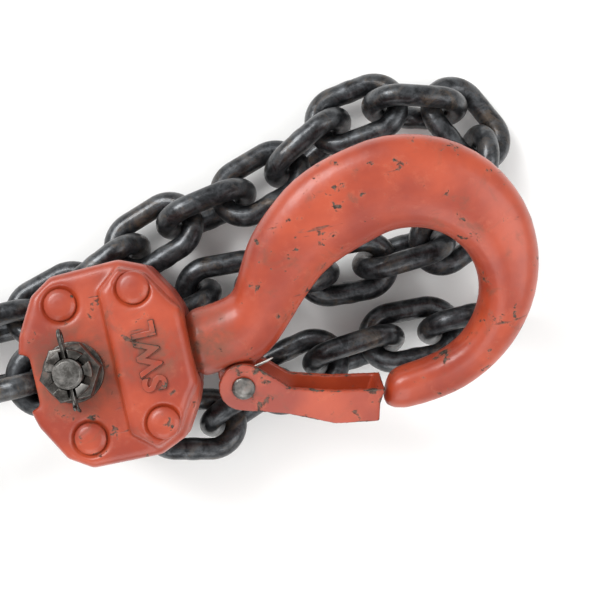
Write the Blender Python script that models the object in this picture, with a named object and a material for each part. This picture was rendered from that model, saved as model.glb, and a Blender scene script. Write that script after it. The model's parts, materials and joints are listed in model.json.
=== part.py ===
"""Lower hook block of a chain hoist, lying on its heaped load chain.

Units are metres, +Z up. The block lies on its side: its load line runs along +X from the chain
pin to the hook, and the chain pin points up. Everything is placed about the chain pin and then
moved, so that the heap stands on z = 0 with its footprint centred on the origin.
"""

import math

import bmesh
import bpy
from mathutils import Matrix, Vector

# Load chain
WIRE_D = 0.0071
LINK_INNER_LENGTH = 0.0210
LINK_INNER_WIDTH = 0.0098
LINK_COUNT = 34
MAX_BEND = math.radians(50)
SLACK_ROLL = math.radians(14)
LINKS_TO_LEAN_OVER = 5
HEAP_LEAN = -18
LOOK_AHEAD = 0.0180
HEAP_HEIGHT = 0.0124

# Block: two half shells, mirrored about the plane z = AXIS_HEIGHT
AXIS_HEIGHT = 0.0445
PARTING_GAP = 0.0003
CHAIN_END_HALF_THICKNESS = 0.0124
COLLAR_END_HALF_THICKNESS = 0.0176
SHELL_LENGTH = 0.0356
SHELL_HALF_WIDTH = 0.0300
PLATEAU_START = 0.0125
SHELL_EDGE_ROUND = 0.0026
SLOT_HALF_HEIGHT = WIRE_D / 2 + 0.0009
SLOT_SIDE_CLEARANCE = 0.0012
BLOCK_SWING = math.radians(15)
MOUTH_CLEARANCE = 0.0009
MOUTH_START = -0.0122
POCKET_START = -0.0068
POCKET_HALF_HEIGHT = 0.0102

# Chain pin, washer, castle nut and split pin
PIN_LINK_CLEARANCE = 0.0004
PIN_D = LINK_INNER_WIDTH - 2 * PIN_LINK_CLEARANCE
PIN_HOLE_CLEARANCE = 0.0003
PIN_HEAD_ACROSS_FLATS = 0.0150
PIN_HEAD_HEIGHT = 0.0056
SEAT_GAP = 0.0003
WASHER_D = 0.0185
WASHER_THICKNESS = 0.0014
NUT_ACROSS_FLATS = 0.0160
NUT_HEX_HEIGHT = 0.0060
NUT_CROWN_D = 0.0142
NUT_CROWN_HEIGHT = 0.0042
NUT_CHAMFER = 0.0006
PIN_STICK_OUT = 0.0012
PIN_CHAMFER = 0.0008
SPLIT_PIN_WIRE_D = 0.0014
SPLIT_PIN_LEG_GAP = 0.0004
SPLIT_PIN_EYE_D = 0.0042

# Rivets
RIVET_D = 0.0060
RIVET_HEAD_D = 0.0098
RIVET_HEAD_HEIGHT = 0.0020
RIVET_SINK = 0.0012
RIVET_RING_D = 0.0114
RIVET_NEAR_X = 0.0003
RIVET_FAR_X = 0.0232
RIVET_Y = 0.0205

# Hook and the collar that holds its shank
SHANK_D = 0.0178
SHANK_CLEARANCE = 0.0003
GROOVE_D = 0.0126
GROOVE_WIDTH = 0.0040
SHANK_END_X = 0.0160
SHANK_END_ROOM = 0.0012
GROOVE_X = 0.0192
COLLAR_D = 0.0250
COLLAR_CLEARANCE = 0.0006
THRUST_WASHER_THICKNESS = 0.0024
NECK_D = 0.0210
BOWL_CENTRE_X = 0.1040
BOWL_RADIUS = 0.0215
BACK_WIDTH = 0.0285
TIP_WIDTH = 0.0135
NECK_DEPTH = 0.0190
BACK_DEPTH = 0.0165
SADDLE_DEPTH = 0.0180
TIP_DEPTH = 0.0125
TIP_ANGLE = -115.5
SWIVEL_AT_REST = 18.0

# Latch
LATCH_X = 0.0478
LATCH_Y = -0.0148
LATCH_BOSS_D = 0.0152
LATCH_PLATE = 0.0018
LATCH_HALF_GAP = 0.0059
LATCH_CLEARANCE = 0.0004
LUG_HALF_THICKNESS = 0.0022
LUG_D = 0.0106
LATCH_PIN_D = 0.0046
LATCH_PIN_HEAD_D = 0.0072
LATCH_PIN_HEAD_HEIGHT = 0.0011
SPRING_WIRE_D = 0.0010
SPRING_COIL_D = 0.0082
SPRING_TURNS = 1.5

# How far a cutter or a buried end reaches past the face that it crosses
CUT_PAST = 0.0020

RING_SIDES = 28
TURN_SIDES = 32

# The chain's route from the block down to the heap and along it, as (x, y, z) in metres
CHAIN_ROUTE = [
    (-0.026, 0.000, AXIS_HEIGHT),
    (-0.046, -0.003, AXIS_HEIGHT - 0.0035),
    (-0.064, -0.010, 0.0345),
    (-0.082, -0.008, 0.0270),
    (-0.090, 0.007, 0.0258),
    (-0.078, 0.020, 0.0224),
    (-0.058, 0.022, 0.0170),
    (-0.034, 0.020, HEAP_HEIGHT),
    (-0.012, 0.021, HEAP_HEIGHT),
    (0.008, 0.028, HEAP_HEIGHT),
    (0.028, 0.039, HEAP_HEIGHT),
    (0.050, 0.042, HEAP_HEIGHT),
    (0.074, 0.048, HEAP_HEIGHT),
    (0.096, 0.060, HEAP_HEIGHT),
    (0.118, 0.062, HEAP_HEIGHT),
    (0.134, 0.050, HEAP_HEIGHT),
    (0.136, 0.031, HEAP_HEIGHT),
    (0.124, 0.017, HEAP_HEIGHT),
    (0.104, 0.013, HEAP_HEIGHT),
    (0.080, 0.013, HEAP_HEIGHT),
    (0.062, 0.014, HEAP_HEIGHT),
    (0.044, 0.016, HEAP_HEIGHT),
    (0.026, 0.012, HEAP_HEIGHT + 0.0020),
    (0.014, 0.000, HEAP_HEIGHT),
    (0.018, -0.016, HEAP_HEIGHT),
    (0.034, -0.024, HEAP_HEIGHT),
    (0.052, -0.021, HEAP_HEIGHT),
    (0.072, -0.015, HEAP_HEIGHT),
    (0.094, -0.014, HEAP_HEIGHT),
    (0.118, -0.014, HEAP_HEIGHT),
    (0.140, -0.014, HEAP_HEIGHT),
]

COLOURS = {
    "orange_paint": ((0.560, 0.080, 0.030), 0.45, 0.0),
    "chain_steel": ((0.050, 0.050, 0.045), 0.50, 0.8),
    "oily_steel": ((0.090, 0.085, 0.075), 0.42, 0.9),
    "bright_steel": ((0.330, 0.320, 0.300), 0.35, 1.0),
}


def material(name):
    """A Principled BSDF with the slot's colour, roughness and metallic value."""
    found = bpy.data.materials.get(name)
    if found:
        return found
    colour, roughness, metallic = COLOURS[name]
    made = bpy.data.materials.new(name)
    made.use_nodes = True
    shader = made.node_tree.nodes["Principled BSDF"]
    shader.inputs["Base Color"].default_value = (*colour, 1.0)
    shader.inputs["Roughness"].default_value = roughness
    shader.inputs["Metallic"].default_value = metallic
    return made


def add_object(name, mesh, slot=None, place=None):
    """Links a mesh to the scene as a named object, shaded smooth up to 35 degrees."""
    obj = bpy.data.objects.new(name, mesh)
    bpy.context.scene.collection.objects.link(obj)
    if place is not None:
        obj.matrix_world = place
    if slot and not mesh.materials:
        mesh.materials.append(material(slot))
        mesh.shade_smooth()
        mesh.set_sharp_from_angle(angle=math.radians(35))
    return obj


def helper(name, mesh, place=None):
    """An object that only cuts or joins another one."""
    obj = add_object(name, mesh, place=place)
    obj.hide_render = True
    obj.display_type = "WIRE"
    return obj


def boolean(obj, other, operation):
    step = obj.modifiers.new(other.name, "BOOLEAN")
    step.operation = operation
    step.solver = "EXACT"
    step.object = other


def mesh_of(name, bm):
    bmesh.ops.recalc_face_normals(bm, faces=bm.faces)
    mesh = bpy.data.meshes.new(name)
    bm.to_mesh(mesh)
    bm.free()
    return mesh


def prism(name, outline, low, high, edge_round=0.0):
    """An outline in the XY plane, extruded from low to high, with its top edge rounded."""
    bm = bmesh.new()
    base = bm.faces.new([bm.verts.new((x, y, low)) for x, y in outline])
    grown = bmesh.ops.extrude_face_region(bm, geom=[base])["geom"]
    top = [v for v in grown if isinstance(v, bmesh.types.BMVert)]
    bmesh.ops.translate(bm, verts=top, vec=(0, 0, high - low))
    if edge_round:
        rim = [e for e in bm.edges if all(v in top for v in e.verts)]
        bmesh.ops.bevel(bm, geom=rim, offset=edge_round, segments=2, profile=0.5, affect="EDGES")
    return mesh_of(name, bm)


def turned(name, profile, sides=TURN_SIDES, axis="Z"):
    """A solid of revolution. The profile is (radius, height) pairs, from one end to the other."""
    bm = bmesh.new()
    rings = []
    for radius, height in profile:
        if radius == 0:
            rings.append([bm.verts.new((0, 0, height))])
            continue
        turns = [2 * math.pi * k / sides for k in range(sides)]
        rings.append([bm.verts.new((radius * math.cos(t), radius * math.sin(t), height)) for t in turns])
    for low, high in zip(rings, rings[1:]):
        bridge(bm, low, high)
    for end in (rings[0], rings[-1]):
        if len(end) > 1:
            bm.faces.new(end)
    if axis == "X":
        bmesh.ops.rotate(bm, verts=bm.verts, matrix=Matrix.Rotation(math.pi / 2, 3, "Y"))
    return mesh_of(name, bm)


def bridge(bm, low, high):
    """Joins two rings of points, of which one may be a single point."""
    count = max(len(low), len(high))
    for k in range(count):
        n = (k + 1) % count
        corners = [low[k % len(low)], low[n % len(low)], high[n % len(high)], high[k % len(high)]]
        bm.faces.new(list(dict.fromkeys(corners)))


def washer(name, inner_d, outer_d, thickness, sides=TURN_SIDES, axis="Z"):
    """A flat ring from height 0 to its thickness."""
    chamfer = thickness * 0.2
    loop = [
        (inner_d / 2, 0),
        (outer_d / 2 - chamfer, 0),
        (outer_d / 2, chamfer),
        (outer_d / 2, thickness - chamfer),
        (outer_d / 2 - chamfer, thickness),
        (inner_d / 2, thickness),
    ]
    bm = bmesh.new()
    rings = []
    for radius, height in loop:
        turns = [2 * math.pi * k / sides for k in range(sides)]
        rings.append([bm.verts.new((radius * math.cos(t), radius * math.sin(t), height)) for t in turns])
    for low, high in zip(rings, rings[1:] + rings[:1]):
        bridge(bm, low, high)
    if axis == "X":
        bmesh.ops.rotate(bm, verts=bm.verts, matrix=Matrix.Rotation(math.pi / 2, 3, "Y"))
    return mesh_of(name, bm)


def hexagon(across_flats):
    corner = across_flats / math.sqrt(3)
    return circle(0, 0, corner, 6)


def rectangle(left, bottom, right, top):
    return [(left, bottom), (right, bottom), (right, top), (left, top)]


def circle(x, y, radius, sides):
    turns = [2 * math.pi * k / sides for k in range(sides)]
    return [(x + radius * math.cos(t), y + radius * math.sin(t)) for t in turns]


def joined(name, meshes):
    """Several separate closed bodies in one mesh, for a cutter."""
    bm = bmesh.new()
    for mesh in meshes:
        bm.from_mesh(mesh)
    return mesh_of(name, bm)


def moved(mesh, x=0.0, y=0.0, z=0.0):
    mesh.transform(Matrix.Translation((x, y, z)))
    return mesh


def wire(name, points, diameter, cyclic=False):
    """A round wire along points, as a mesh made from a bevelled curve."""
    curve = bpy.data.curves.new(name, "CURVE")
    curve.dimensions = "3D"
    curve.bevel_depth = diameter / 2
    curve.bevel_resolution = 2
    curve.use_fill_caps = not cyclic
    spline = curve.splines.new("POLY")
    spline.points.add(len(points) - 1)
    for point, place in zip(spline.points, points):
        point.co = (*place, 1)
    spline.use_cyclic_u = cyclic
    guide = bpy.data.objects.new(name + "_guide", curve)
    mesh = bpy.data.meshes.new_from_object(guide)
    bpy.data.objects.remove(guide)
    mesh.name = name
    bm = bmesh.new()
    bm.from_mesh(mesh)
    bmesh.ops.remove_doubles(bm, verts=bm.verts, dist=1e-6)
    return mesh_of(name, bm)


# ---------------------------------------------------------------- block


def shell_outline():
    """The half shell seen along the chain pin: a shield that narrows to the chain and to the hook."""
    side = [
        (-0.0158, 0.0080),
        (-0.0142, 0.0140),
        (-0.0080, 0.0250),
        (-0.0010, SHELL_HALF_WIDTH - 0.0005),
        (0.0200, SHELL_HALF_WIDTH),
        (SHELL_LENGTH - 0.0075, SHELL_HALF_WIDTH - 0.0035),
        (SHELL_LENGTH - 0.0022, SHELL_HALF_WIDTH - 0.0120),
        (SHELL_LENGTH, 0.0125),
    ]
    return [(x, -y) for x, y in side] + [(x, y) for x, y in reversed(side)]


def plateau_outline():
    """The raised part of the shell over the hook's collar, a little inside the shell's edge."""
    inset = 0.0022
    side = [
        (PLATEAU_START, SHELL_HALF_WIDTH - inset - 0.0060),
        (0.0200, SHELL_HALF_WIDTH - inset),
        (SHELL_LENGTH - 0.0085, SHELL_HALF_WIDTH - inset - 0.0035),
        (SHELL_LENGTH - 0.0030, SHELL_HALF_WIDTH - inset - 0.0125),
        (SHELL_LENGTH, 0.0115),
    ]
    return [(x, -y) for x, y in side] + [(x, y) for x, y in reversed(side)]


def rivet_places():
    return [(x, y) for x in (RIVET_NEAR_X, RIVET_FAR_X) for y in (-RIVET_Y, RIVET_Y)]


def rivet_seat_height(x):
    """The shell's face around a rivet, from the parting plane."""
    return CHAIN_END_HALF_THICKNESS if x < PLATEAU_START else COLLAR_END_HALF_THICKNESS


def slot_outline():
    """The gap for the first link, straight beside the pin and flared towards the chain."""
    half = LINK_INNER_WIDTH / 2 + WIRE_D + SLOT_SIDE_CLEARANCE
    end = pin_link_reach() + SLOT_SIDE_CLEARANCE
    side = [(-0.0300, 0.0330), (-0.0130, 0.0255), (-0.0045, half + 0.0010), (end, half)]
    return [(x, -y) for x, y in side] + [(x, y) for x, y in reversed(side)]


def mouth_outline(start):
    """The room beside the second link, which stands upright and swings with the first."""
    outer = -0.0300
    half = WIRE_D / 2 + MOUTH_CLEARANCE
    near, far = half - start * math.tan(BLOCK_SWING), half - outer * math.tan(BLOCK_SWING)
    return [(outer, -far), (start, -near), (start, near), (outer, far)]


def pin_link_reach():
    """How far the first link's end reaches past the pin's centre."""
    return PIN_D / 2 + SEAT_GAP + WIRE_D


def collar_cavity():
    """The room for the shank, its split collar and the thrust washer, along X."""
    wide = COLLAR_D / 2 + COLLAR_CLEARANCE
    narrow = SHANK_D / 2 + SHANK_CLEARANCE
    shoulder = shoulder_x()
    start = SHANK_END_X - SHANK_END_ROOM
    profile = [(wide, start), (wide, shoulder), (narrow, shoulder), (narrow, SHELL_LENGTH + CUT_PAST)]
    return turned("collar_cavity", profile, axis="X")


def shoulder_x():
    """Where the thrust washer bears on the shell."""
    return GROOVE_X + GROOVE_WIDTH + THRUST_WASHER_THICKNESS + 2 * SEAT_GAP


def shell_holes(top):
    """The pin's hole and the four rivets' holes with their counterbores, one body each."""
    bore = PIN_D / 2 + PIN_HOLE_CLEARANCE
    holes = [turned("pin_hole", [(bore, -CUT_PAST), (bore, top)])]
    for x, y in rivet_places():
        seat = rivet_seat_height(x) - RIVET_SINK - SEAT_GAP
        hole = RIVET_D / 2 + SEAT_GAP
        ring = RIVET_RING_D / 2
        profile = [(hole, -CUT_PAST), (hole, seat), (ring, seat), (ring, top)]
        holes.append(moved(turned("rivet_hole", profile, 24), x, y))
    return joined("shell_holes", holes)


def half_shell(name, side):
    """One half of the block. side is +1 for the upper half and -1 for the lower half."""
    low = PARTING_GAP / 2
    body = prism(name, shell_outline(), low, CHAIN_END_HALF_THICKNESS, SHELL_EDGE_ROUND)
    plateau = prism(name + "_plateau", plateau_outline(), 0.004, COLLAR_END_HALF_THICKNESS, SHELL_EDGE_ROUND)
    slot = prism(name + "_slot", slot_outline(), -CUT_PAST, SLOT_HALF_HEIGHT)
    mouth = prism(name + "_mouth", mouth_outline(MOUTH_START), -CUT_PAST, COLLAR_END_HALF_THICKNESS)
    pocket = prism(name + "_pocket", mouth_outline(POCKET_START), -CUT_PAST, POCKET_HALF_HEIGHT)
    cavity = collar_cavity()
    holes = shell_holes(COLLAR_END_HALF_THICKNESS + CUT_PAST)
    place = Matrix.Translation((0, 0, AXIS_HEIGHT))
    if side < 0:
        place = place @ Matrix.Rotation(math.pi, 4, "X")
    shell = add_object(name, body, "orange_paint", place)
    boolean(shell, helper(name + "_plateau", plateau, place), "UNION")
    boolean(shell, helper(name + "_slot", slot, place), "DIFFERENCE")
    boolean(shell, helper(name + "_mouth", mouth, place), "DIFFERENCE")
    boolean(shell, helper(name + "_pocket", pocket, place), "DIFFERENCE")
    boolean(shell, helper(name + "_cavity", cavity, place), "DIFFERENCE")
    boolean(shell, helper(name + "_holes", holes, place), "DIFFERENCE")
    return shell


def rivet(number, x, y):
    """A rivet through both shells, with a low domed head in each counterbore."""
    seat = rivet_seat_height(x) - RIVET_SINK
    head = RIVET_HEAD_D / 2
    up = [
        (RIVET_D / 2, seat),
        (head, seat),
        (head, seat + RIVET_HEAD_HEIGHT * 0.45),
        (head * 0.72, seat + RIVET_HEAD_HEIGHT * 0.85),
        (head * 0.30, seat + RIVET_HEAD_HEIGHT),
        (0, seat + RIVET_HEAD_HEIGHT),
    ]
    profile = [(r, -z) for r, z in reversed(up)] + up
    mesh = turned(f"rivet_{number}", profile, 20)
    return add_object(f"rivet_{number}", mesh, "orange_paint", Matrix.Translation((x, y, AXIS_HEIGHT)))


def nut_base():
    """The nut's underside, from the parting plane."""
    return CHAIN_END_HALF_THICKNESS + WASHER_THICKNESS + 2 * SEAT_GAP


def split_pin_height():
    """The split pin's axis, from the parting plane."""
    return nut_base() + NUT_HEX_HEIGHT + NUT_CROWN_HEIGHT * 0.55


def split_pin_reach():
    """How far each leg's outer side is from the split pin's axis."""
    return SPLIT_PIN_WIRE_D + SPLIT_PIN_LEG_GAP / 2


def cross_hole(name, width, height, length):
    """A slot cut across the pin along Y, for the split pin's two legs."""
    mesh = prism(name, rectangle(-width / 2, -height / 2, width / 2, height / 2), -length / 2, length / 2)
    mesh.transform(Matrix.Rotation(math.pi / 2, 4, "X"))
    return mesh


def chain_pin():
    """The bolt that carries the first link: hex head below, chamfered end above."""
    end = nut_base() + NUT_HEX_HEIGHT + NUT_CROWN_HEIGHT + PIN_STICK_OUT
    seat = CHAIN_END_HALF_THICKNESS + SEAT_GAP
    place = Matrix.Translation((0, 0, AXIS_HEIGHT))
    radius = PIN_D / 2
    profile = [(radius, -seat - CUT_PAST), (radius, end - PIN_CHAMFER), (radius - PIN_CHAMFER, end)]
    shank = turned("chain_pin", profile)
    pin = add_object("chain_pin", shank, "oily_steel", place)
    head = prism("pin_head", hexagon(PIN_HEAD_ACROSS_FLATS), -seat - PIN_HEAD_HEIGHT, -seat)
    boolean(pin, helper("pin_head", head, place), "UNION")
    width = 2 * SPLIT_PIN_WIRE_D + SPLIT_PIN_LEG_GAP + 2 * SEAT_GAP
    hole = cross_hole("pin_cross_hole", SPLIT_PIN_WIRE_D + 2 * SEAT_GAP, width, 0.03)
    hole_place = place @ Matrix.Translation((0, 0, split_pin_height()))
    boolean(pin, helper("pin_cross_hole", hole, hole_place), "DIFFERENCE")
    return pin


def pin_washer():
    ring = washer("pin_washer", PIN_D + 2 * PIN_HOLE_CLEARANCE, WASHER_D, WASHER_THICKNESS)
    seat = AXIS_HEIGHT + CHAIN_END_HALF_THICKNESS + SEAT_GAP
    return add_object("pin_washer", ring, "oily_steel", Matrix.Translation((0, 0, seat)))


def castle_nut():
    """A slotted nut: a hexagon below and a round crown with six slots above."""
    place = Matrix.Translation((0, 0, AXIS_HEIGHT + nut_base()))
    top = NUT_HEX_HEIGHT + NUT_CROWN_HEIGHT
    hexagonal = prism("castle_nut", hexagon(NUT_ACROSS_FLATS), 0, NUT_HEX_HEIGHT, NUT_CHAMFER)
    nut = add_object("castle_nut", hexagonal, "oily_steel", place)
    crown = turned("nut_crown", [(NUT_CROWN_D / 2, NUT_HEX_HEIGHT / 2), (NUT_CROWN_D / 2, top)], 24)
    boolean(nut, helper("nut_crown", crown, place), "UNION")
    bore_r = PIN_D / 2 + SEAT_GAP
    bore = turned("nut_bore", [(bore_r, -CUT_PAST), (bore_r, top + CUT_PAST)])
    boolean(nut, helper("nut_bore", bore, place), "DIFFERENCE")
    slot_width = SPLIT_PIN_WIRE_D + 0.0012
    slot_depth = nut_base() + top - split_pin_height() + split_pin_reach() + SEAT_GAP
    for turn in range(3):
        slot = cross_hole(f"nut_slot_{turn}", slot_width, 2 * slot_depth, 0.03)
        slot.transform(Matrix.Translation((0, 0, top)))
        spun = place @ Matrix.Rotation(math.radians(60 * turn), 4, "Z")
        boolean(nut, helper(f"nut_slot_{turn}", slot, spun), "DIFFERENCE")
    return nut


def split_pin():
    """One wire: up through the pin, round the eye and back, with both ends bent round the nut."""
    half = (SPLIT_PIN_WIRE_D + SPLIT_PIN_LEG_GAP) / 2
    reach = NUT_CROWN_D / 2 + 0.0012
    eye = SPLIT_PIN_EYE_D / 2
    eye_y = reach + eye * 1.2
    turn = range(-130, 131, 26)
    loop = [(0, eye_y + eye * math.cos(math.radians(a)), -eye * math.sin(math.radians(a))) for a in turn]
    upper = [(0, -reach, half), (0, -reach - 0.0016, half + 0.0007), (0, -reach - 0.0022, half + 0.0024)]
    lower = [(0, -reach, -half), (0, -reach - 0.0022, -half - 0.0006)]
    lower += [(0.0004, -reach - 0.0032, -half - 0.0030)]
    points = list(reversed(upper)) + [(0, reach, half)] + loop + [(0, reach, -half)] + lower
    mesh = wire("split_pin", points, SPLIT_PIN_WIRE_D)
    place = Matrix.Translation((0, 0, AXIS_HEIGHT + split_pin_height()))
    return add_object("split_pin", mesh, "oily_steel", place)


# ---------------------------------------------------------------- hook


def section(centre, half_width, depth, power, lean=0.0):
    """One ring across the hook. half_width points from the inner to the outer edge, in the XY plane."""
    ring = []
    for k in range(RING_SIDES):
        turn = 2 * math.pi * (k + 0.5) / RING_SIDES
        c, s = math.cos(turn), math.sin(turn)
        across = math.copysign(abs(c) ** (2 / power), c)
        up = math.copysign(abs(s) ** (2 / power), s) * depth / 2 * (1 - lean * across)
        ring.append(Vector((centre[0] + half_width[0] * across, centre[1] + half_width[1] * across, up)))
    return ring


def between(inner, outer, depth, power, lean=0.0):
    """A ring from its inner and outer edge."""
    centre = ((inner[0] + outer[0]) / 2, (inner[1] + outer[1]) / 2)
    half = ((outer[0] - inner[0]) / 2, (outer[1] - inner[1]) / 2)
    return section(centre, half, depth, power, lean)


def blend(low, high, share):
    share = min(max(share, 0.0), 1.0)
    return low + (high - low) * (0.5 - 0.5 * math.cos(math.pi * share))


def hook_rings():
    """The hook from the shank's end, over the back and round the bowl to the tip."""
    rings = []
    r, groove = SHANK_D / 2, GROOVE_D / 2
    steps = [
        (SHANK_END_X, r - 0.0012),
        (SHANK_END_X + 0.0012, r),
        (GROOVE_X, r),
        (GROOVE_X, groove),
        (GROOVE_X + GROOVE_WIDTH, groove),
        (GROOVE_X + GROOVE_WIDTH, r),
        (SHELL_LENGTH + 0.0008, r),
        (SHELL_LENGTH + 0.0008, NECK_D / 2 - 0.0008),
        (SHELL_LENGTH + 0.0018, NECK_D / 2),
    ]
    rings += [section((x, 0), (0, radius), 2 * radius, 2.0) for x, radius in steps]
    rings.append(between((0.0450, -0.0100), (0.0450, 0.0112), NECK_DEPTH, 2.1))
    rings.append(between((0.0520, -0.0098), (0.0510, 0.0132), NECK_DEPTH * 0.96, 2.2))
    rings.append(between((0.0590, -0.0065), (0.0552, 0.0205), NECK_DEPTH * 0.93, 2.3, 0.05))
    rings.append(between((0.0655, -0.0002), (0.0600, 0.0285), NECK_DEPTH * 0.90, 2.4, 0.08))
    rings.append(between((0.0730, 0.0078), (0.0672, 0.0358), BACK_DEPTH, 2.5, 0.10))
    rings.append(between((0.0820, 0.0150), (0.0765, 0.0428), BACK_DEPTH, 2.5, 0.12))
    for angle in (108, 88, 68, 48, 28, 8, -12, -32, -52, -72, -90, -104):
        rings.append(bowl_ring(angle))
    rings = rings[:len(steps)] + rounded_run(rings[len(steps):])
    rings.append(bowl_ring(-109.5, 0.94))
    rings.append(bowl_ring(-113.5, 0.78))
    rings.append(bowl_ring(TIP_ANGLE, 0.48))
    return rings


def rounded_run(rings):
    """The same rings with two more between each pair, on a Catmull-Rom curve."""
    ends = [rings[0]] + rings + [rings[-1]]
    run = []
    for a, b, c, d in zip(ends, ends[1:], ends[2:], ends[3:]):
        for share in (0, 1 / 3, 2 / 3):
            run.append([catmull_rom(*points, share) for points in zip(a, b, c, d)])
    return run + [rings[-1]]


def catmull_rom(a, b, c, d, t):
    """A point on the smooth curve between b and c."""
    return 0.5 * (2 * b + (c - a) * t + (2 * a - 5 * b + 4 * c - d) * t**2 + (3 * b - a - 3 * c + d) * t**3)


def bowl_ring(angle, share=1.0):
    """A ring round the bowl. share shrinks it towards its middle, for the blunt tip."""
    width = blend(TIP_WIDTH, BACK_WIDTH, (angle + 60) / 150)
    depth = blend(TIP_DEPTH, SADDLE_DEPTH, (angle + 80) / 70)
    if angle > 20:
        depth = blend(SADDLE_DEPTH, BACK_DEPTH, (angle - 20) / 70)
    opened = max(0.0, -angle - 85) * 0.00010
    low, high = BOWL_RADIUS + opened, BOWL_RADIUS + opened + width
    middle, half = (low + high) / 2, (high - low) / 2 * share
    a = math.radians(angle)
    toward = (math.cos(a), math.sin(a))
    inner = (BOWL_CENTRE_X + toward[0] * (middle - half), toward[1] * (middle - half))
    outer = (BOWL_CENTRE_X + toward[0] * (middle + half), toward[1] * (middle + half))
    return between(inner, outer, depth * share, 2.5, 0.10)


def hook_frame():
    """The hook's place: turned about its shank, with its back raised."""
    return Matrix.Translation((0, 0, AXIS_HEIGHT)) @ Matrix.Rotation(math.radians(SWIVEL_AT_REST), 4, "X")


def hook():
    bm = bmesh.new()
    rings = [[bm.verts.new(p) for p in ring] for ring in hook_rings()]
    for low, high in zip(rings, rings[1:]):
        bridge(bm, low, high)
    bm.faces.new(rings[0])
    bm.faces.new(rings[-1])
    place = hook_frame()
    body = add_object("hook", mesh_of("hook", bm), "orange_paint", place)
    lug_outline = circle(LATCH_X, LATCH_Y, LUG_D / 2, 24)
    lug = prism("latch_lug", lug_outline, -LUG_HALF_THICKNESS - 0.0006, LUG_HALF_THICKNESS + 0.0006)
    boolean(body, helper("latch_lug", lug, place), "UNION")
    web_half = LUG_D / 2 - 0.0004
    web_outline = rectangle(LATCH_X - web_half, LATCH_Y, LATCH_X + web_half, 0.0)
    web = prism("lug_web", web_outline, -LUG_HALF_THICKNESS - 0.0005, LUG_HALF_THICKNESS + 0.0005)
    boolean(body, helper("lug_web", web, place), "UNION")
    seats = joined("latch_seats", [latch_seat(1), latch_seat(-1)])
    boolean(body, helper("latch_seats", seats, place), "DIFFERENCE")
    hole_r = LATCH_PIN_D / 2 + SEAT_GAP
    hole = turned("latch_pin_hole", [(hole_r, -0.02), (hole_r, 0.02)], 20)
    hole_place = place @ Matrix.Translation((LATCH_X, LATCH_Y, 0))
    boolean(body, helper("latch_pin_hole", hole, hole_place), "DIFFERENCE")
    return body


def latch_seat(side):
    """The flat machined beside the neck, in which one cheek of the latch turns."""
    low = LUG_HALF_THICKNESS
    radius = LATCH_BOSS_D / 2 + LATCH_CLEARANCE
    disc = turned("latch_seat", [(radius, low), (radius, 0.014)], TURN_SIDES)
    if side < 0:
        disc.transform(Matrix.Rotation(math.pi, 4, "X"))
    return moved(disc, LATCH_X, LATCH_Y)


def collar_half(name, side):
    """Half of the split collar that sits in the shank's groove."""
    gap = SEAT_GAP
    ring = washer(name, GROOVE_D + 2 * gap, COLLAR_D, GROOVE_WIDTH - 2 * gap, TURN_SIDES, "X")
    turn = Matrix.Rotation(math.radians(90 - 90 * side), 4, "X")
    place = hook_frame() @ Matrix.Translation((GROOVE_X + gap, 0, 0)) @ turn
    half = add_object(name, ring, "oily_steel", place)
    big = COLLAR_D
    cutter = prism(name + "_cut", rectangle(-big, -big, big, gap / 2), -big, big)
    boolean(half, helper(name + "_cut", cutter, place), "DIFFERENCE")
    return half


def thrust_washer():
    bore = SHANK_D + 2 * SHANK_CLEARANCE
    ring = washer("thrust_washer", bore, COLLAR_D, THRUST_WASHER_THICKNESS, TURN_SIDES, "X")
    x = GROOVE_X + GROOVE_WIDTH + SEAT_GAP
    return add_object("thrust_washer", ring, "bright_steel", Matrix.Translation((x, 0, AXIS_HEIGHT)))


# ---------------------------------------------------------------- latch


def latch_end(degrees, inset=0.0):
    """A point at the latch's end, about its pin, that turns clear of the hook's tip."""
    tip = math.radians(TIP_ANGLE)
    corners = []
    for radius in (BOWL_RADIUS, BOWL_RADIUS + TIP_WIDTH):
        x = BOWL_CENTRE_X + radius * math.cos(tip) - LATCH_X
        y = radius * math.sin(tip) - LATCH_Y
        corners.append(math.hypot(x, y))
    reach = min(corners) - 2 * LATCH_CLEARANCE - inset
    return reach * math.cos(math.radians(degrees)), reach * math.sin(math.radians(degrees))


def latch_outline():
    """One cheek of the latch seen along its pin, about the pin: a round boss and an arm to the hook's tip."""
    boss = LATCH_BOSS_D / 2
    arc = [(boss * math.cos(math.radians(a)), boss * math.sin(math.radians(a))) for a in range(40, 261, 20)]
    arm = [(0.0110, -0.0115), (0.0250, -0.0184), latch_end(-28.5), latch_end(-21, 0.0010), latch_end(-14.5)]
    arm += [(0.0270, -0.0078), (0.0140, -0.0036), (0.0085, 0.0022)]
    return arc + arm


def latch_web_outline():
    """The strip that joins the two cheeks along the latch's outer side and round its end."""
    outer = [(0.0120, -0.0120), (0.0250, -0.0184), latch_end(-28.5), latch_end(-21, 0.0010), latch_end(-14.5)]
    inner = [latch_end(-14.9, 0.0022), latch_end(-21.5, 0.0032), latch_end(-26.5, 0.0026)]
    inner += [(0.0253, -0.0163), (0.0130, -0.0101)]
    return outer + inner


def latch():
    outer = LATCH_HALF_GAP + LATCH_PLATE
    place = hook_frame() @ Matrix.Translation((LATCH_X, LATCH_Y, 0))
    body = add_object("latch", prism("latch", latch_outline(), LATCH_HALF_GAP, outer), "orange_paint", place)
    lower = prism("latch_lower_cheek", latch_outline(), -outer, -LATCH_HALF_GAP)
    web = prism("latch_web", latch_web_outline(), -outer + 0.0002, outer - 0.0002)
    boolean(body, helper("latch_web", web, place), "UNION")
    boolean(body, helper("latch_lower_cheek", lower, place), "UNION")
    hole_r = LATCH_PIN_D / 2 + SEAT_GAP
    hole = turned("cheek_hole", [(hole_r, -0.02), (hole_r, 0.02)], 20)
    boolean(body, helper("cheek_hole", hole, place), "DIFFERENCE")
    return body


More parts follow.
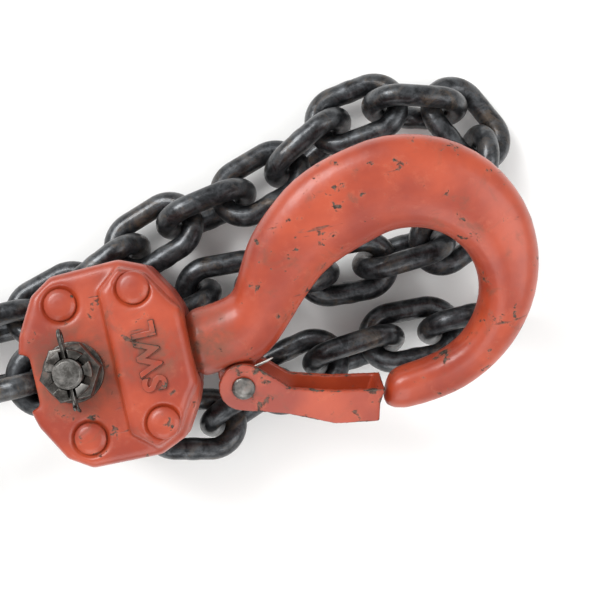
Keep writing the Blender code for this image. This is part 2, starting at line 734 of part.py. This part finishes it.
def latch_pin():
    head = LATCH_PIN_HEAD_D / 2
    seat = LATCH_HALF_GAP + LATCH_PLATE + SEAT_GAP
    up = [(LATCH_PIN_D / 2, seat), (head, seat), (head, seat + LATCH_PIN_HEAD_HEIGHT * 0.5)]
    up += [(head * 0.7, seat + LATCH_PIN_HEAD_HEIGHT), (0, seat + LATCH_PIN_HEAD_HEIGHT)]
    profile = [(r, -z) for r, z in reversed(up)] + up
    place = hook_frame() @ Matrix.Translation((LATCH_X, LATCH_Y, 0))
    return add_object("latch_pin", turned("latch_pin", profile, 20), "oily_steel", place)


def latch_spring():
    """A torsion spring round the latch pin, with one leg along the hook's neck and one along the latch."""
    radius = SPRING_COIL_D / 2
    low = LUG_HALF_THICKNESS + SEAT_GAP + SPRING_WIRE_D / 2
    rise = SPRING_WIRE_D + 0.0002
    start, steps = math.radians(205), 18
    points = [(0.0155, -0.0086, low), (0.0080, -0.0062, low)]
    for k in range(int(steps * SPRING_TURNS) + 1):
        turn = start + 2 * math.pi * k / steps + math.radians(85)
        points.append((radius * math.cos(turn), radius * math.sin(turn), low + rise * k / steps))
    top = low + rise * SPRING_TURNS
    points += [(0.0065, 0.0052, top), (0.0110, 0.0066, top + 0.0003)]
    place = hook_frame() @ Matrix.Translation((LATCH_X, LATCH_Y, 0))
    return add_object("latch_spring", wire("latch_spring", points, SPRING_WIRE_D), "bright_steel", place)


# ---------------------------------------------------------------- chain


def link_mesh():
    """One link about its centre: long axis X, lying in the XY plane."""
    arm = (LINK_INNER_WIDTH + WIRE_D) / 2
    straight = (LINK_INNER_LENGTH + WIRE_D) / 2 - arm
    points = []
    for side in (1, -1):
        for k in range(7):
            turn = math.radians(-90 + 30 * k)
            points.append((side * (straight + arm * math.cos(turn)), side * arm * math.sin(turn), 0))
    return wire("link", points, WIRE_D, cyclic=True)


def smooth_route():
    """The route as a close run of points on a Catmull-Rom curve."""
    knots = [Vector(p) for p in CHAIN_ROUTE]
    knots = [2 * knots[0] - knots[1]] + knots + [2 * knots[-1] - knots[-2]]
    dense = []
    for a, b, c, d in zip(knots, knots[1:], knots[2:], knots[3:]):
        dense += [catmull_rom(a, b, c, d, k / 20) for k in range(20)]
    return dense + [knots[-2]]


def steer(place, heading, normal, route, reached):
    """Turns heading about normal, by at most MAX_BEND, towards the route point that lies ahead."""
    while reached < len(route) - 1 and (route[reached] - place).length < LOOK_AHEAD:
        reached += 1
    aim = route[reached] - place
    aim -= normal * aim.dot(normal)
    turn = math.atan2(heading.cross(aim).dot(normal), heading.dot(aim))
    turn = min(max(turn, -MAX_BEND), MAX_BEND)
    return Matrix.Rotation(turn, 3, normal) @ heading, reached


def next_normal(heading, last_normal, number):
    """The next link's plane: square to the last one's, rolled towards its own lean by at most the slack.

    The links stand upright and level in turn at the block, and all lean by HEAP_LEAN in the heap.
    """
    lean = math.radians(90 * (number % 2) + HEAP_LEAN * min(1, number / LINKS_TO_LEAN_OVER))
    side = heading.cross(Vector((0, 0, 1))).normalized()
    wanted = side.cross(heading) * math.cos(lean) + side * math.sin(lean)
    square = heading.cross(last_normal).normalized()
    if square.dot(wanted) < 0:
        square.negate()
    roll = math.atan2(square.cross(wanted).dot(heading), square.dot(wanted))
    roll = min(max(roll, -SLACK_ROLL), SLACK_ROLL)
    return Matrix.Rotation(roll, 3, heading) @ square


def link_places():
    """Each link's matrix. Two links turn on each other about either one's wire, in that one's plane."""
    arm = (LINK_INNER_WIDTH + WIRE_D) / 2
    straight = (LINK_INNER_LENGTH + WIRE_D) - 2 * arm
    route = smooth_route()
    reached = 0
    end = Vector((pin_link_reach() - WIRE_D / 2 - arm - straight, 0, AXIS_HEIGHT))
    heading = Vector((-1, 0, 0))
    normal = Vector((0, 0, 1))
    places = [link_matrix(end - heading * straight / 2, heading, normal)]
    for number in range(1, LINK_COUNT):
        start = end + heading * arm
        normal = next_normal(heading, normal, number)
        heading, reached = steer(start, heading, normal, route, reached)
        places.append(link_matrix(start + heading * straight / 2, heading, normal))
        end = start + heading * straight
        heading, reached = steer(end, heading, normal, route, reached)
    return places


def link_matrix(centre, heading, normal):
    across = normal.cross(heading)
    turn = Matrix((heading, across, normal)).transposed().to_4x4()
    return Matrix.Translation(centre) @ turn


def chain():
    mesh = link_mesh()
    for number, place in enumerate(link_places(), 1):
        add_object(f"link_{number:02d}", mesh, "chain_steel", place)


def stand_on_ground():
    """Moves everything so that the lowest point is at z = 0 and the footprint is centred on the origin."""
    depsgraph = bpy.context.evaluated_depsgraph_get()
    points = []
    for obj in bpy.data.objects:
        if not obj.hide_render:
            solid = obj.evaluated_get(depsgraph)
            points += [solid.matrix_world @ vertex.co for vertex in solid.data.vertices]
    lows = [min(point[axis] for point in points) for axis in range(3)]
    highs = [max(point[axis] for point in points) for axis in range(3)]
    shift = Vector(((lows[0] + highs[0]) / 2, (lows[1] + highs[1]) / 2, lows[2]))
    for obj in bpy.data.objects:
        obj.location -= shift


def build():
    for obj in list(bpy.data.objects):
        bpy.data.objects.remove(obj)
    half_shell("front_half_shell", 1)
    half_shell("rear_half_shell", -1)
    for number, (x, y) in enumerate(rivet_places(), 1):
        rivet(number, x, y)
    chain_pin()
    pin_washer()
    castle_nut()
    split_pin()
    hook()
    collar_half("collar_half_a", 1)
    collar_half("collar_half_b", -1)
    thrust_washer()
    latch()
    latch_pin()
    latch_spring()
    chain()
    stand_on_ground()


build()
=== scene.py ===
"""Looks for the lower hook block of a chain hoist, lying on its heaped load chain.

Metres, +Z up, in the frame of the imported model. Cast and forged pieces are smoothed copies of
their solids, turned pieces get rounded edges, and the links are modelled once and copied.
"""

import json
import math

import bpy
import numpy as np
from mathutils import Matrix, Vector

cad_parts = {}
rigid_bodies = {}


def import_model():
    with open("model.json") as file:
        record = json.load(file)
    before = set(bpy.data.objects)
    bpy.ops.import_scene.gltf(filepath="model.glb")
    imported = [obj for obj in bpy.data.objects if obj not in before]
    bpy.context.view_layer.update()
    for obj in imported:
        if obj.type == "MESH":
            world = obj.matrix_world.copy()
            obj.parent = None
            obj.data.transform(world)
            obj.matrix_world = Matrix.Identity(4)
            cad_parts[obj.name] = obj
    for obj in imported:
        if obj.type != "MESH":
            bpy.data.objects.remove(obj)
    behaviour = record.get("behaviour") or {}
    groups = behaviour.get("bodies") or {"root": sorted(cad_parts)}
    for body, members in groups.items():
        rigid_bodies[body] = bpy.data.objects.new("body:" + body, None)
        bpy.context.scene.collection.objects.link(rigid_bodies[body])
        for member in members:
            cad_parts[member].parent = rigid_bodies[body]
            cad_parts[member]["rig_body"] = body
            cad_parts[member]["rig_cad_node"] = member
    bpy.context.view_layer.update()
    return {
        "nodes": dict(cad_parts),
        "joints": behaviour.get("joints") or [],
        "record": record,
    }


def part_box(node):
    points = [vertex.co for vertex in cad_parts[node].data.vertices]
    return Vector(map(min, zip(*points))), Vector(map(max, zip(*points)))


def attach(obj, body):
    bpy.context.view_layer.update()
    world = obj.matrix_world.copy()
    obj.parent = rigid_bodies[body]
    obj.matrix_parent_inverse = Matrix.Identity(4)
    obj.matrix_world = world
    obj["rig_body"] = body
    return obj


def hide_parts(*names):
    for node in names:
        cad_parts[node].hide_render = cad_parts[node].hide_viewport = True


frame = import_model()

# Chain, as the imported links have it
WIRE_D = 0.0071
LINK_INNER_LENGTH = 0.0210
LINK_INNER_WIDTH = 0.0098
WELD_HALF_LENGTH = 0.0012
WELD_SWELL = 1.055

# An extra cut through the wire beside the weld, as a share of the link's straight side
CUT_SHARE = 0.6

# Triangle corners that are nearer than this are one corner
JOIN_DISTANCE = 1e-6

# Smoothing of cast and forged pieces: size of the remeshed faces, and passes of smoothing
SHELL_GRAIN, SHELL_PASSES = 0.00055, 16
HOOK_GRAIN, HOOK_PASSES = 0.0007, 10
LATCH_GRAIN, LATCH_PASSES = 0.00034, 3
RIVET_GRAIN, RIVET_PASSES = 0.00034, 5

# Rounded edges of turned and cut pieces
EDGE_ROUND = 0.00022
THIN_EDGE_ROUND = 0.00015
NUT_EDGE_ROUND = 0.00030
EDGE_STEPS = 3
FLAT_ANGLE = math.radians(1)
SHARP_ANGLE = math.radians(35)
SMOOTH_ANGLE = math.radians(32)

# Rating mark, a generic one
MARK_TEXT = "SWL"
MARK_TEXT_SIZE = 0.0074 * 1.32
MARK_RAISED = 0.0007
MARK_PLACE = (0.0238, -0.0005)
MARK_BEVEL = 0.00022
MARK_BOLDER = 0.00018
MARK_SPACING = 1.12

# Camera and lights
PICTURE_ROLL = math.radians(-13)
CAMERA_DISTANCE = 0.450
LENS = 88
SENSOR_WIDTH = 36
NEAREST = 0.01
CAMERA_AIM = (0.0706, 0.0058)
FLOOR_SIZE = 3.0
LIGHT_AIM = (0.0, 0.0, 0.03)
WORLD_STRENGTH = 0.68
# Name, place, size of the square and power
SOFTBOXES = (
    ("key_light", (-0.55, 0.75, 1.10), 0.70, 17.0),
    ("fill_light", (0.85, -0.45, 0.90), 0.90, 7.0),
    ("front_light", (-0.30, -0.95, 0.80), 0.80, 5.0),
)

PIN_LOW, PIN_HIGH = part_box("chain_pin")
PIN = (PIN_LOW + PIN_HIGH) / 2
AXIS_HEIGHT = next(j["pos_m"][2] for j in frame["joints"] if j["name"] == "hook_swivel")


# From the chain pin to the hook's neck below the block
NECK_FROM_PIN = 0.0400


# ---------------------------------------------------------------- shader maths


class Socket:
    """A shader value: Python operators on it add Math nodes."""

    def __init__(self, graph, socket):
        self.graph = graph
        self.socket = socket

    def math(self, operation, *others, clamp=False):
        values = {0: self}
        values.update({place: other for place, other in enumerate(others, 1)})
        return self.graph.node("ShaderNodeMath", values, operation=operation, use_clamp=clamp)

    def __add__(self, other):
        return self.math("ADD", other)

    def __radd__(self, other):
        return self.math("ADD", other)

    def __sub__(self, other):
        return self.math("SUBTRACT", other)

    def __rsub__(self, other):
        return self.graph.node("ShaderNodeMath", {0: other, 1: self}, operation="SUBTRACT")

    def __mul__(self, other):
        return self.math("MULTIPLY", other)

    def clamped(self):
        return self.math("ADD", 0.0, clamp=True)


class Graph:
    """One material's nodes, with its Principled shader as finish."""

    def __init__(self, name):
        self.material = bpy.data.materials.new(name)
        self.material.use_nodes = True
        self.tree = self.material.node_tree
        self.finish = self.tree.nodes["Principled BSDF"]
        self.place = self.node("ShaderNodeTexCoord", {}, "Object")

    def node(self, kind, values, output=0, **settings):
        """Adds a node: its settings first, then the values or links of its sockets."""
        made = self.tree.nodes.new(kind)
        for setting, value in settings.items():
            setattr(made, setting, value)
        for name, value in values.items():
            self.feed(made.inputs[name], value)
        return Socket(self, made.outputs[output])

    def feed(self, target, value):
        if isinstance(value, Socket):
            self.tree.links.new(value.socket, target)
        else:
            target.default_value = value

    def noise(self, scale, detail=5.0, roughness=0.6, distortion=0.0):
        values = {"Vector": self.place, "Scale": scale, "Detail": detail, "Roughness": roughness}
        values["Distortion"] = distortion
        return self.node("ShaderNodeTexNoise", values, "Fac")

    def scratches(self, scale, stretch, turn=(0.0, 0.0, 0.0)):
        """Long thin marks: noise that is squeezed along one way."""
        values = {"Vector": self.place, "Scale": stretch, "Rotation": turn}
        mapped = self.node("ShaderNodeMapping", values)
        values = {"Vector": mapped, "Scale": scale, "Detail": 3.0, "Roughness": 0.55}
        return self.node("ShaderNodeTexNoise", values, "Fac")

    def distance_from(self, x, y):
        """How far a point is from the upright line through x and y."""
        values = {0: self.place, 1: (x, y, 0.0)}
        away = self.node("ShaderNodeVectorMath", values, operation="SUBTRACT")
        flat = self.node("ShaderNodeVectorMath", {0: away, 1: (1.0, 1.0, 0.0)}, operation="MULTIPLY")
        return self.node("ShaderNodeVectorMath", {0: flat}, "Value", operation="LENGTH")

    def edges(self):
        """High on outer edges, low in corners, about a half on flat faces."""
        return self.node("ShaderNodeNewGeometry", {}, "Pointiness")

    def mask(self, value, low, high):
        """0 below low, 1 above high, and smooth between them."""
        values = {"Value": value, "From Min": low, "From Max": high, "To Min": 0.0, "To Max": 1.0}
        return self.node("ShaderNodeMapRange", values, "Result", interpolation_type="SMOOTHSTEP")

    def mix(self, share, under, over):
        """A colour between under and over."""
        made = self.tree.nodes.new("ShaderNodeMix")
        made.data_type = "RGBA"
        for place, value in ((0, share), (6, under), (7, over)):
            self.feed(made.inputs[place], value if isinstance(value, (Socket, float)) else (*value, 1.0))
        return Socket(self, made.outputs[2])

    def set(self, **values):
        """Feeds the Principled shader. An underscore stands for a space in a socket's name."""
        for name, value in values.items():
            if isinstance(value, tuple) and len(value) == 3:
                value = (*value, 1.0)
            self.feed(self.finish.inputs[name.replace("_", " ")], value)

    def bump(self, height, distance, strength=1.0):
        values = {"Height": height, "Distance": distance, "Strength": strength}
        self.feed(self.finish.inputs["Normal"], self.node("ShaderNodeBump", values))


# ---------------------------------------------------------------- materials


def worn_paint(name, wear, grime, stains=()):
    """Orange-red enamel: chipped to dark steel at its edges, with brown grime in spots and painted shade
    in its corners.

    wear and grime are the limits between which edges and spots go from paint to bare steel.
    stains are upright columns of oily dirt: (x, y, radius of full dirt, radius where it ends).
    """
    g = Graph(name)
    broad = g.noise(38, 4, 0.55)
    mottled = g.noise(170, 6, 0.65, 0.3)
    fine = g.noise(900, 4, 0.6)
    specks = g.noise(420, 3, 0.7, 0.6)
    edge = g.edges()
    red = g.mix(g.mask(broad, 0.35, 0.68), (0.245, 0.024, 0.007), (0.400, 0.056, 0.018))
    red = g.mix(g.mask(mottled, 0.52, 0.76) * 0.45, red, (0.570, 0.140, 0.068))
    worn_edge = g.mask(edge + (mottled - 0.5) * 0.16, wear[0], wear[1])
    spot = g.mask(mottled * 0.7 + specks * 0.3, grime[0], grime[1])
    scratched = g.mask(g.scratches(70, (1.0, 7.0, 3.0), (0.2, 0.3, 0.5)), 0.66, 0.72)
    streak = scratched * g.mask(broad, 0.45, 0.6)
    bare = (worn_edge + spot * 0.85 + streak * 0.7).clamped()
    # Painted shade: concave corners are darkened towards brown, in mottled patches.
    corner_shade = g.mask(1.0 - edge, 0.53, 0.60) * g.mask(mottled, 0.30, 0.62)
    smudge = g.noise(95, 6, 0.7, 0.8)
    dirt = g.mask(smudge, 0.55, 0.73) * 0.6
    for x, y, full, gone in stains:
        near = 1.0 - g.mask(g.distance_from(x, y) + (smudge - 0.5) * 0.012, full, gone)
        dirt = dirt + near * g.mask(mottled, 0.30, 0.60) * 0.8
    dirt = dirt.clamped()
    # This brown stands for real dirt, and for painted shade in the corners.
    colour = g.mix((dirt + corner_shade * 0.8).clamped(), red, (0.150, 0.045, 0.022))
    steel = g.mix(g.mask(fine, 0.4, 0.6), (0.035, 0.026, 0.021), (0.105, 0.078, 0.060))
    colour = g.mix(bare, colour, steel)
    g.set(
        Base_Color=colour,
        Metallic=bare * 0.55,
        Roughness=0.32 + mottled * 0.20 + bare * 0.20 + dirt * 0.22,
        Coat_Weight=(1.0 - bare) * 0.22,
        Coat_Roughness=0.18,
    )
    g.bump(broad * 0.6 + mottled * 0.5 + fine * 0.06 - bare * 0.45, 0.00045, 0.55)
    return g.material


def oily_chain_steel(name):
    """Blackened chain with a film of oil, brown dust where it dried and bright rubbed spots."""
    g = Graph(name)
    broad = g.noise(60, 4, 0.6)
    mottled = g.noise(240, 6, 0.7, 0.4)
    fine = g.noise(1300, 4, 0.6)
    edge = g.edges()
    black = g.mix(g.mask(mottled, 0.35, 0.7), (0.016, 0.017, 0.019), (0.085, 0.091, 0.098))
    dust = g.mask(g.noise(120, 7, 0.75, 1.0), 0.50, 0.70) * 0.8
    colour = g.mix(dust, black, (0.085, 0.058, 0.036))
    rubbed = g.mask(edge + (mottled - 0.5) * 0.1, 0.53, 0.60) * 0.35
    colour = g.mix(rubbed, colour, (0.150, 0.145, 0.140))
    g.set(
        Base_Color=colour,
        Metallic=0.75 - dust * 0.5,
        Roughness=0.24 + mottled * 0.24 + dust * 0.26,
        Coat_Weight=g.mask(broad, 0.35, 0.6) * 0.45,
        Coat_Roughness=0.12,
    )
    g.bump(mottled * 0.8 + fine * 0.16 + broad * 0.5 + dust * 0.3, 0.00035, 0.6)
    return g.material


def oily_steel(name, dark, light, rough):
    """Turned steel under old oil, with rust-brown film in patches."""
    g = Graph(name)
    broad = g.noise(90, 4, 0.6)
    mottled = g.noise(380, 6, 0.7, 0.3)
    fine = g.scratches(900, (1.0, 1.0, 5.0))
    edge = g.edges()
    colour = g.mix(g.mask(mottled, 0.35, 0.70), dark, light)
    rust = g.mask(broad + (mottled - 0.5) * 0.5, 0.52, 0.74) * 0.7
    colour = g.mix(rust, colour, (0.090, 0.036, 0.018))
    bright = g.mask(edge + (mottled - 0.5) * 0.08, 0.54, 0.62)
    colour = g.mix(bright * 0.6, colour, (0.300, 0.290, 0.275))
    g.set(
        Base_Color=colour,
        Metallic=0.9 - rust * 0.6,
        Roughness=rough + mottled * 0.18 + rust * 0.25,
        Coat_Weight=0.15,
    )
    g.bump(mottled * 0.6 + fine * 0.25 + rust * 0.3, 0.0002, 0.6)
    return g.material


NUT_STAIN = (PIN.x, PIN.y, 0.0095, 0.0165)
MARK_STAIN = (PIN.x + MARK_PLACE[0], PIN.y, 0.0040, 0.0120)
NECK_STAIN = (PIN.x + NECK_FROM_PIN, PIN.y, 0.0040, 0.0130)
PAINT_CAST = worn_paint("shell_enamel", (0.530, 0.570), (0.590, 0.635), (NUT_STAIN, MARK_STAIN))
PAINT_FORGED = worn_paint("hook_enamel", (0.518, 0.556), (0.580, 0.625), (NECK_STAIN,))
PAINT_STAMPED = worn_paint("latch_enamel", (0.522, 0.560), (0.565, 0.615))
CHAIN = oily_chain_steel("oiled_chain")
NUT_STEEL = oily_steel("oiled_nut_steel", (0.030, 0.027, 0.024), (0.110, 0.104, 0.096), 0.28)
PIN_STEEL = oily_steel("turned_pin_steel", (0.075, 0.070, 0.064), (0.240, 0.232, 0.220), 0.24)
SPRING_STEEL = oily_steel("spring_steel", (0.180, 0.170, 0.155), (0.420, 0.410, 0.390), 0.22)


# ---------------------------------------------------------------- pieces


def body_of(node):
    bodies = frame["record"]["behaviour"]["bodies"]
    return next(body for body, nodes in bodies.items() if node in nodes)


def only(obj):
    """Makes obj the one that is selected and active."""
    bpy.ops.object.select_all(action="DESELECT")
    obj.select_set(True)
    bpy.context.view_layer.objects.active = obj


def whole_copy(node, name):
    """A CAD node's solid as a piece of its own, its loose triangles joined."""
    copy = frame["nodes"][node].copy()
    copy.data = copy.data.copy()
    copy.name = name
    copy.parent = None
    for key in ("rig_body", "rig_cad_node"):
        if key in copy:
            del copy[key]
    bpy.context.scene.collection.objects.link(copy)
    only(copy)
    bpy.ops.object.mode_set(mode="EDIT")
    bpy.ops.mesh.select_all(action="SELECT")
    bpy.ops.mesh.remove_doubles(threshold=JOIN_DISTANCE)
    bpy.ops.mesh.normals_make_consistent(inside=False)
    bpy.ops.object.mode_set(mode="OBJECT")
    return copy


def finished(piece, material, slot, *nodes):
    """Gives a piece its material and its body, and hides the nodes that it stands for; slot is not used.
    """
    piece.data.materials.clear()
    piece.data.materials.append(material)
    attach(piece, body_of(nodes[0]))
    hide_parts(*nodes)
    return piece


def add_modifier(piece, kind, **settings):
    step = piece.modifiers.new(kind.lower(), kind)
    for setting, value in settings.items():
        setattr(step, setting, value)
    only(piece)
    bpy.ops.object.modifier_apply(modifier=step.name)


def cast_piece(node, grain, passes, material):
    """A casting or forging: even small faces, with its edges and facets smoothed away."""
    piece = whole_copy(node, node + "_cast")
    add_modifier(piece, "REMESH", mode="VOXEL", voxel_size=grain, adaptivity=0.0)
    add_modifier(piece, "SMOOTH", factor=0.5, iterations=passes)
    only(piece)
    bpy.ops.object.shade_smooth()
    return finished(piece, material, "orange_paint", node)


def machined_piece(node, material, slot, edge_round=EDGE_ROUND):
    """A turned or cut piece: flat faces and small rounded edges."""
    piece = whole_copy(node, node + "_machined")
    only(piece)
    bpy.ops.object.mode_set(mode="EDIT")
    bpy.ops.mesh.select_all(action="SELECT")
    bpy.ops.mesh.dissolve_limited(angle_limit=FLAT_ANGLE)
    bpy.ops.object.mode_set(mode="OBJECT")
    add_modifier(
        piece,
        "BEVEL",
        width=edge_round,
        segments=EDGE_STEPS,
        limit_method="ANGLE",
        angle_limit=SHARP_ANGLE,
        use_clamp_overlap=True,
        harden_normals=False,
    )
    only(piece)
    bpy.ops.object.shade_smooth_by_angle(angle=SMOOTH_ANGLE)
    return finished(piece, material, slot, node)


def wire_piece(node, material, slot):
    """A bent wire, made rounder."""
    piece = whole_copy(node, node + "_wire")
    only(piece)
    bpy.ops.object.mode_set(mode="EDIT")
    bpy.ops.mesh.select_all(action="SELECT")
    bpy.ops.mesh.tris_convert_to_quads()
    bpy.ops.object.mode_set(mode="OBJECT")
    add_modifier(piece, "SUBSURF", levels=2, render_levels=2)
    only(piece)
    bpy.ops.object.shade_smooth()
    return finished(piece, material, slot, node)


# ---------------------------------------------------------------- chain


def link_model():
    """One link about its centre, long along X: a torus pulled apart, with a weld on one side."""
    arm = (LINK_INNER_WIDTH + WIRE_D) / 2
    straight = (LINK_INNER_LENGTH + WIRE_D) / 2 - arm
    bpy.ops.object.select_all(action="DESELECT")
    bpy.ops.mesh.primitive_torus_add(
        major_radius=arm,
        minor_radius=WIRE_D / 2,
        major_segments=48,
        minor_segments=24,
        rotation=(0, 0, math.pi / 48),
    )
    link = bpy.context.active_object
    bpy.ops.object.transform_apply(rotation=True)
    for side in (1, -1):
        select_points(link, lambda place: place.x * side > 0)
        bpy.ops.transform.translate(value=(side * straight, 0, 0))
        bpy.ops.object.mode_set(mode="OBJECT")
    for x in (-CUT_SHARE * straight, *(step * WELD_HALF_LENGTH for step in (-2, -1, 0, 1, 2))):
        select_points(link, lambda place: True)
        bpy.ops.mesh.bisect(plane_co=(x, 0, 0), plane_no=(1, 0, 0))
        bpy.ops.object.mode_set(mode="OBJECT")
    for x, swell in ((-WELD_HALF_LENGTH, 0.75), (0.0, 1.0), (WELD_HALF_LENGTH, 0.75)):
        select_points(link, lambda place: abs(place.x - x) < 1e-5 and place.y > 0)
        size = 1 + (WELD_SWELL - 1) * swell
        bpy.ops.transform.resize(value=(1, size, size), center_override=(0, arm, 0))
        bpy.ops.object.mode_set(mode="OBJECT")
    only(link)
    bpy.ops.object.shade_smooth()
    return link


def select_points(obj, wanted):
    """Goes into edit mode with only the points selected whose place is wanted."""
    only(obj)
    bpy.ops.object.mode_set(mode="EDIT")
    bpy.ops.mesh.select_mode(type="VERT")
    bpy.ops.mesh.select_all(action="DESELECT")
    bpy.ops.object.mode_set(mode="OBJECT")
    for vertex in obj.data.vertices:
        vertex.select = bool(wanted(vertex.co))
    bpy.ops.object.mode_set(mode="EDIT")


def link_place(node):
    """Where a packed link is: its centre, and its length, width and thickness as axes."""
    points = np.array([vertex.co for vertex in frame["nodes"][node].data.vertices])
    points = np.unique(points.round(7), axis=0)
    centre = points.mean(axis=0)
    along, across = np.linalg.svd(points - centre, full_matrices=False)[2][:2]
    turn = Matrix((along, across, np.cross(along, across))).transposed().to_4x4()
    return Matrix.Translation(Vector(centre)) @ turn


def chain():
    model = link_model()
    for node in sorted(n for n in frame["nodes"] if n.startswith("link_")):
        piece = model.copy()
        piece.data = model.data.copy()
        piece.name = node + "_welded"
        bpy.context.scene.collection.objects.link(piece)
        piece.data.transform(link_place(node))
        finished(piece, CHAIN, "chain_steel", node)
    bpy.data.objects.remove(model)


# ---------------------------------------------------------------- block and hook


def block():
    for node in ("front_half_shell", "rear_half_shell"):
        cast_piece(node, SHELL_GRAIN, SHELL_PASSES, PAINT_CAST)
    for number in range(1, 5):
        cast_piece(f"rivet_{number}", RIVET_GRAIN, RIVET_PASSES, PAINT_CAST)
    machined_piece("chain_pin", PIN_STEEL, "oily_steel")
    machined_piece("pin_washer", NUT_STEEL, "oily_steel", THIN_EDGE_ROUND)
    machined_piece("castle_nut", NUT_STEEL, "oily_steel", NUT_EDGE_ROUND)
    wire_piece("split_pin", NUT_STEEL, "oily_steel")
    machined_piece("thrust_washer", SPRING_STEEL, "bright_steel", THIN_EDGE_ROUND)


def rating_mark():
    """A generic raised mark, cast on the front half's flat face."""
    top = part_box("front_half_shell")[1].z
    bpy.ops.object.select_all(action="DESELECT")
    bpy.ops.object.text_add(location=(0, 0, 0))
    mark = bpy.context.active_object
    mark.data.body = MARK_TEXT
    mark.data.size = MARK_TEXT_SIZE
    mark.data.align_x = "CENTER"
    mark.data.align_y = "CENTER"
    mark.data.extrude = MARK_RAISED
    mark.data.bevel_depth = MARK_BEVEL
    mark.data.bevel_resolution = 2
    mark.data.offset = MARK_BOLDER
    mark.data.space_character = MARK_SPACING
    only(mark)
    bpy.ops.object.convert(target="MESH")
    mark = bpy.context.active_object
    mark.name = "rating_mark"
    place = Vector((PIN.x + MARK_PLACE[0], PIN.y + MARK_PLACE[1], top))
    mark.data.transform(Matrix.Translation(place) @ Matrix.Rotation(math.radians(90), 4, "Z"))
    mark.data.materials.clear()
    mark.data.materials.append(PAINT_CAST)
    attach(mark, "block")


def hook_and_latch():
    cast_piece("hook", HOOK_GRAIN, HOOK_PASSES, PAINT_FORGED)
    machined_piece("collar_half_a", NUT_STEEL, "oily_steel", THIN_EDGE_ROUND)
    machined_piece("collar_half_b", NUT_STEEL, "oily_steel", THIN_EDGE_ROUND)
    cast_piece("latch", LATCH_GRAIN, LATCH_PASSES, PAINT_STAMPED)
    machined_piece("latch_pin", PIN_STEEL, "oily_steel")
    wire_piece("latch_spring", SPRING_STEEL, "bright_steel")


# ---------------------------------------------------------------- room


def plain(name, colour, roughness):
    g = Graph(name)
    g.set(Base_Color=colour, Roughness=roughness)
    return g.material


def floor():
    bpy.ops.object.select_all(action="DESELECT")
    bpy.ops.mesh.primitive_plane_add(size=FLOOR_SIZE)
    plane = bpy.context.active_object
    plane.name = "floor"
    plane.data.materials.append(plain("pale_floor", (0.93, 0.93, 0.92), 0.65))


def softbox(name, place, size, power):
    light = bpy.data.lights.new(name, "AREA")
    light.shape = "SQUARE"
    light.size = size
    light.energy = power
    lamp = bpy.data.objects.new(name, light)
    bpy.context.scene.collection.objects.link(lamp)
    lamp.location = place
    lamp.rotation_euler = (Vector(LIGHT_AIM) - Vector(place)).to_track_quat("-Z", "Y").to_euler()


def lights():
    for name, place, size, power in SOFTBOXES:
        softbox(name, place, size, power)
    world = bpy.data.worlds.new("studio")
    world.use_nodes = True
    background = world.node_tree.nodes["Background"]
    background.inputs["Color"].default_value = (1.0, 1.0, 1.0, 1.0)
    background.inputs["Strength"].default_value = WORLD_STRENGTH
    bpy.context.scene.world = world


def camera():
    """Looks almost straight down, turned so that the load line climbs to the right."""
    data = bpy.data.cameras.new("camera")
    data.lens = LENS
    data.sensor_width = SENSOR_WIDTH
    data.clip_start = NEAREST
    eye = bpy.data.objects.new("camera", data)
    bpy.context.scene.collection.objects.link(eye)
    eye.location = (PIN.x + CAMERA_AIM[0], PIN.y + CAMERA_AIM[1], AXIS_HEIGHT + CAMERA_DISTANCE)
    eye.rotation_euler = (0, 0, PICTURE_ROLL)
    bpy.context.scene.camera = eye
    bpy.context.scene.view_settings.view_transform = "Standard"


camera()
floor()
lights()
chain()
block()
rating_mark()
hook_and_latch()
